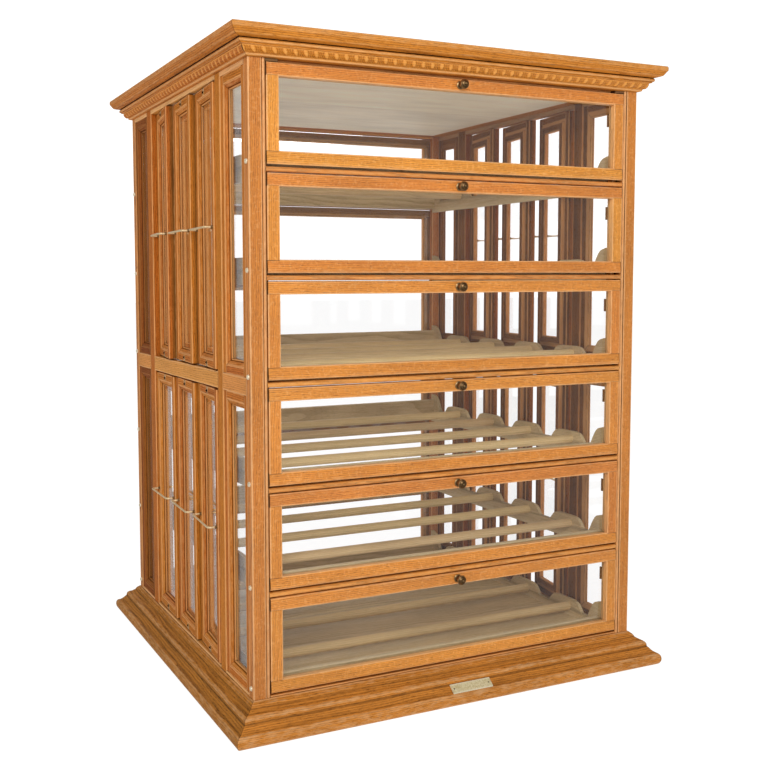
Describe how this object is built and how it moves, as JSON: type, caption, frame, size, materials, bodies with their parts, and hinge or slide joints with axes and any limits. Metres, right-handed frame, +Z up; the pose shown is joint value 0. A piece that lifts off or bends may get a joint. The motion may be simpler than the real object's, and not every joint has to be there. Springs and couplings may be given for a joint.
{
  "type": "haberdashery cabinet",
  "caption": "Glazed oak haberdashery cabinet with stacked drop-front doors, turning side sashes with wire pulls, and dowel racks for ribbon reels behind a moulded base and carved cornice.",
  "frame": {"origin": "on the ground under the middle of the cabinet", "axes": "+Z up, the drop doors face -Y, +X to the right of someone facing the doors"},
  "size_m": [0.805, 0.745, 1.053],
  "materials": {
    "oak": "golden oak under worn shellac varnish",
    "rack_wood": "plain light wood, dull",
    "glass": "clear old sheet glass",
    "knob_bronze": "aged brass, brown patina",
    "brass": "dull brass"
  },
  "bodies": {
    "case": {"base_plinth": "oak", "cornice_top": "oak", "front_frame": "oak", "back_frame": "oak", "back_glass": "glass", "nameplate": "brass", "left_side_frame": "oak", "left_front_fixed_glass": "glass", "left_rear_fixed_glass": "glass", "right_side_frame": "oak", "right_front_fixed_glass": "glass", "right_rear_fixed_glass": "glass", "tier_1_rack": "rack_wood", "tier_2_rack": "rack_wood", "tier_3_rack": "rack_wood", "tier_4_rack": "rack_wood", "tier_5_rack": "rack_wood", "tier_6_rack": "rack_wood"},
    "door_1": {"door_1_frame": "oak", "door_1_glass": "glass", "door_1_knob": "knob_bronze"},
    "door_2": {"door_2_frame": "oak", "door_2_glass": "glass", "door_2_knob": "knob_bronze"},
    "door_3": {"door_3_frame": "oak", "door_3_glass": "glass", "door_3_knob": "knob_bronze"},
    "door_4": {"door_4_frame": "oak", "door_4_glass": "glass", "door_4_knob": "knob_bronze"},
    "door_5": {"door_5_frame": "oak", "door_5_glass": "glass", "door_5_knob": "knob_bronze"},
    "door_6": {"door_6_frame": "oak", "door_6_glass": "glass", "door_6_knob": "knob_bronze"},
    "left_upper_sash_1": {"left_upper_sash_1_frame": "oak", "left_upper_sash_1_glass": "glass"},
    "left_upper_sash_2": {"left_upper_sash_2_frame": "oak", "left_upper_sash_2_glass": "glass"},
    "left_upper_sash_3": {"left_upper_sash_3_frame": "oak", "left_upper_sash_3_glass": "glass"},
    "left_lower_sash_1": {"left_lower_sash_1_frame": "oak", "left_lower_sash_1_glass": "glass"},
    "left_lower_sash_2": {"left_lower_sash_2_frame": "oak", "left_lower_sash_2_glass": "glass"},
    "left_lower_sash_3": {"left_lower_sash_3_frame": "oak", "left_lower_sash_3_glass": "glass"},
    "right_upper_sash_1": {"right_upper_sash_1_frame": "oak", "right_upper_sash_1_glass": "glass"},
    "right_upper_sash_2": {"right_upper_sash_2_frame": "oak", "right_upper_sash_2_glass": "glass"},
    "right_upper_sash_3": {"right_upper_sash_3_frame": "oak", "right_upper_sash_3_glass": "glass"},
    "right_lower_sash_1": {"right_lower_sash_1_frame": "oak", "right_lower_sash_1_glass": "glass"},
    "right_lower_sash_2": {"right_lower_sash_2_frame": "oak", "right_lower_sash_2_glass": "glass"},
    "right_lower_sash_3": {"right_lower_sash_3_frame": "oak", "right_lower_sash_3_glass": "glass"}
  },
  "joints": [
    {"name": "door_1_drop", "type": "hinge", "parent": "case", "child": "door_1", "pos_m": [0, -0.322, 0.86492], "axis": [1, 0, 0], "range_deg": [0, 90]},
    {"name": "door_2_drop", "type": "hinge", "parent": "case", "child": "door_2", "pos_m": [0, -0.322, 0.70513], "axis": [1, 0, 0], "range_deg": [0, 90]},
    {"name": "door_3_drop", "type": "hinge", "parent": "case", "child": "door_3", "pos_m": [0, -0.322, 0.54535], "axis": [1, 0, 0], "range_deg": [0, 90]},
    {"name": "door_4_drop", "type": "hinge", "parent": "case", "child": "door_4", "pos_m": [0, -0.322, 0.38557], "axis": [1, 0, 0], "range_deg": [0, 90]},
    {"name": "door_5_drop", "type": "hinge", "parent": "case", "child": "door_5", "pos_m": [0, -0.322, 0.22578], "axis": [1, 0, 0], "range_deg": [0, 90]},
    {"name": "door_6_drop", "type": "hinge", "parent": "case", "child": "door_6", "pos_m": [0, -0.322, 0.066], "axis": [1, 0, 0], "range_deg": [0, 90]},
    {"name": "left_upper_sash_1_turn", "type": "hinge", "parent": "case", "child": "left_upper_sash_1", "pos_m": [-0.3505, 0.13, 0.77425], "axis": [0, 0, 1], "range_deg": [-4, 20]},
    {"name": "left_upper_sash_2_turn", "type": "hinge", "parent": "case", "child": "left_upper_sash_2", "pos_m": [-0.3505, 0.005, 0.77425], "axis": [0, 0, 1], "range_deg": [-7.7, 16.3]},
    {"name": "left_upper_sash_3_turn", "type": "hinge", "parent": "case", "child": "left_upper_sash_3", "pos_m": [-0.3505, -0.12, 0.77425], "axis": [0, 0, 1], "range_deg": [-7.2, 16.8]},
    {"name": "left_lower_sash_1_turn", "type": "hinge", "parent": "case", "child": "left_lower_sash_1", "pos_m": [-0.3505, 0.13, 0.288], "axis": [0, 0, 1], "range_deg": [-11, 13]},
    {"name": "left_lower_sash_2_turn", "type": "hinge", "parent": "case", "child": "left_lower_sash_2", "pos_m": [-0.3505, 0.005, 0.288], "axis": [0, 0, 1], "range_deg": [-9.5, 14.5]},
    {"name": "left_lower_sash_3_turn", "type": "hinge", "parent": "case", "child": "left_lower_sash_3", "pos_m": [-0.3505, -0.12, 0.288], "axis": [0, 0, 1], "range_deg": [-8, 16]},
    {"name": "right_upper_sash_1_turn", "type": "hinge", "parent": "case", "child": "right_upper_sash_1", "pos_m": [0.3505, 0.13, 0.77425], "axis": [0, 0, 1], "range_deg": [-2, 22]},
    {"name": "right_upper_sash_2_turn", "type": "hinge", "parent": "case", "child": "right_upper_sash_2", "pos_m": [0.3505, 0.005, 0.77425], "axis": [0, 0, 1], "range_deg": [-3, 21]},
    {"name": "right_upper_sash_3_turn", "type": "hinge", "parent": "case", "child": "right_upper_sash_3", "pos_m": [0.3505, -0.12, 0.77425], "axis": [0, 0, 1], "range_deg": [-2, 22]},
    {"name": "right_lower_sash_1_turn", "type": "hinge", "parent": "case", "child": "right_lower_sash_1", "pos_m": [0.3505, 0.13, 0.288], "axis": [0, 0, 1], "range_deg": [-2, 22]},
    {"name": "right_lower_sash_2_turn", "type": "hinge", "parent": "case", "child": "right_lower_sash_2", "pos_m": [0.3505, 0.005, 0.288], "axis": [0, 0, 1], "range_deg": [-3, 21]},
    {"name": "right_lower_sash_3_turn", "type": "hinge", "parent": "case", "child": "right_lower_sash_3", "pos_m": [0.3505, -0.12, 0.288], "axis": [0, 0, 1], "range_deg": [-2, 22]}
  ]
}
